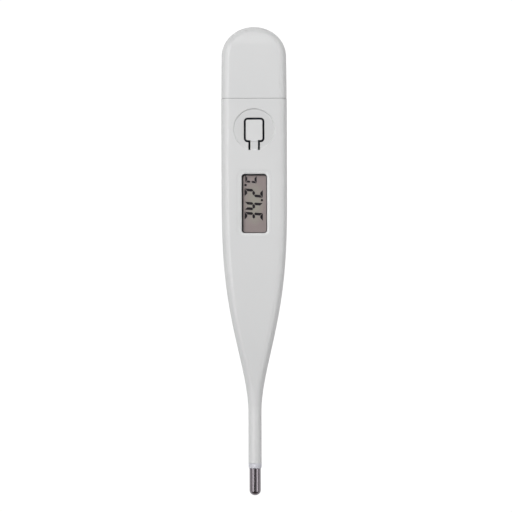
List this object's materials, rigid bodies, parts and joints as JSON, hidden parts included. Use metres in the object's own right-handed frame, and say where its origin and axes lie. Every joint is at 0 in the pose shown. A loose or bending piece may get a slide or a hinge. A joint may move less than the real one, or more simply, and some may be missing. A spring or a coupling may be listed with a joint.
{
  "type": "digital thermometer",
  "caption": "Pocket clinical thermometer with a steel sensing tip, slim stem, digital display, moulded push button and pull-off battery cover.",
  "frame": {"origin": "middle of the overall footprint, at the height of the flat back", "axes": "+Y along the body from the steel tip to the battery cover, +Z out of the display face, +X completes the frame"},
  "size_m": [0.0174, 0.125, 0.01],
  "materials": {
    "white_shell": "satin moulded off-white",
    "clear_window": "clear polished",
    "probe_steel": "polished stainless steel",
    "pale_adhesive": "cured clear adhesive",
    "thermistor_resin": "dark dipped resin",
    "enamelled_wire": "enamelled copper",
    "display_film": "grey polarizing film",
    "display_glass": "clear glass",
    "black_foam": "closed-cell foam",
    "moulded_frame": "moulded pale grey",
    "connector_rubber": "soft elastomer with a dark core",
    "board_laminate": "green solder resist",
    "black_resin": "black epoxy",
    "capacitor_ceramic": "fired tan ceramic",
    "solder": "bright tin alloy",
    "switch_rubber": "matte dark silicone",
    "contact_carbon": "carbon-filled",
    "buzzer_brass": "rolled sheet",
    "buzzer_ceramic": "silvered ceramic",
    "red_insulation": "red insulation",
    "black_insulation": "black insulation",
    "contact_spring": "plated spring strip",
    "cell_steel": "nickel-plated steel",
    "cell_nylon": "nylon",
    "cell_filling": "pressed powder"
  },
  "bodies": {
    "thermometer_body": {"housing": "white_shell", "display_lens": "clear_window", "sensor_tip": "probe_steel", "tip_adhesive_collar": "pale_adhesive", "tip_potting": "pale_adhesive", "thermistor_bead": "thermistor_resin", "thermistor_lead_left": "enamelled_wire", "thermistor_lead_right": "enamelled_wire", "lcd_front_polarizer": "display_film", "lcd_reflector": "display_film", "lcd_front_glass": "display_glass", "lcd_rear_glass": "display_glass", "display_gasket": "black_foam", "display_holder": "moulded_frame", "inner_chassis": "moulded_frame", "zebra_connector": "connector_rubber", "circuit_board": "board_laminate", "chip_encapsulant": "black_resin", "reference_resistor": "black_resin", "timing_resistor": "black_resin", "filter_capacitor": "capacitor_ceramic", "lead_solder_left": "solder", "lead_solder_right": "solder", "switch_rubber": "switch_rubber", "buzzer_brass_disc": "buzzer_brass", "buzzer_ceramic_disc": "buzzer_ceramic", "buzzer_lead_red": "red_insulation", "buzzer_lead_black": "black_insulation", "negative_contact_spring": "contact_spring", "positive_contact_spring": "contact_spring", "battery_can": "cell_steel", "battery_negative_cap": "cell_steel", "battery_grommet": "cell_nylon", "battery_core": "cell_filling"},
    "battery_cover": {"battery_cover": "white_shell"},
    "power_button": {"power_button": "white_shell"},
    "contact_pill": {"switch_contact_pill": "contact_carbon"}
  },
  "joints": [
    {"name": "cover_pull", "type": "slide", "parent": "thermometer_body", "child": "battery_cover", "axis": [0, 1, 0], "range_m": [0, 0.02]},
    {"name": "button_press", "type": "hinge", "parent": "thermometer_body", "child": "power_button", "pos_m": [0, 0.02975, 0.0092], "axis": [-1, 0, 0], "range_deg": [0, 3.5], "stiffness_Nm_per_rad": 0.1, "deforming": ["switch_rubber"]},
    {"name": "pill_travel", "type": "slide", "parent": "thermometer_body", "child": "contact_pill", "axis": [0, 0, -1], "range_m": [0, 0.00029]}
  ],
  "couplings": [
    {"joint": "pill_travel", "follows": "button_press", "m_per_rad": 0.0045837}
  ]
}
